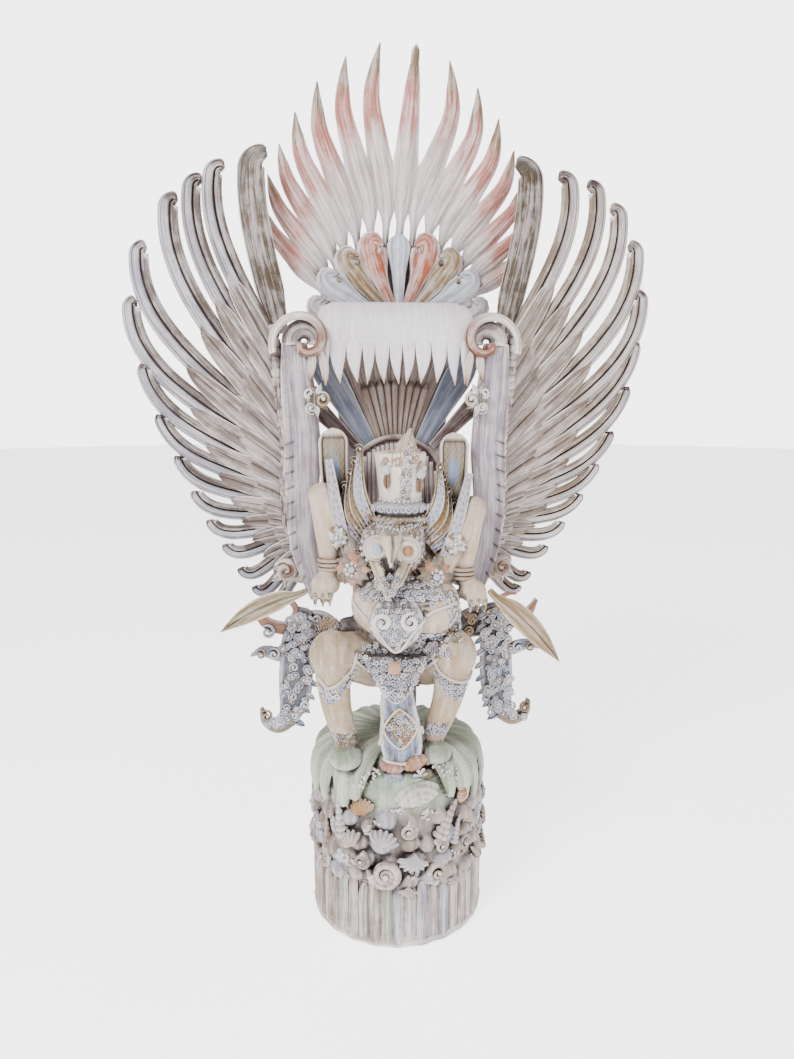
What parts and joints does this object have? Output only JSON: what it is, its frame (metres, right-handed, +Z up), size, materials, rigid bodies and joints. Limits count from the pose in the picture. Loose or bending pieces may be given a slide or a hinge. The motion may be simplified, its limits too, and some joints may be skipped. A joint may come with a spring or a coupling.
{
  "type": "painted wooden garuda statue",
  "caption": "Carved and painted wooden garuda crouching on a rock of shells, with plugged-in wings, a flame tail, a curled inner tail and hand leaves.",
  "frame": {"origin": "centre of the round underside", "axes": "+Z up, the figure faces -Y, +X to the viewer's right"},
  "size_m": [0.9883, 0.3386, 1.5947],
  "materials": {
    "trunk_wood": "worn paint over carved wood",
    "wing_wood": "worn taupe and lavender paint over carved wood",
    "tail_wood": "worn white and coral paint over carved wood",
    "hood_wood": "worn white paint over wood with a cross grain",
    "ornament_wood": "worn blue-grey and gold paint over carved wood",
    "leaf_wood": "worn khaki paint over carved wood"
  },
  "bodies": {
    "root": {"figure_on_base": "trunk_wood", "right_wing": "wing_wood", "left_wing": "wing_wood", "tail_flames": "tail_wood", "inner_tail": "hood_wood", "right_hip_ornament": "ornament_wood", "left_hip_ornament": "ornament_wood", "right_hand_leaf": "leaf_wood", "left_hand_leaf": "leaf_wood"}
  },
  "joints": []
}
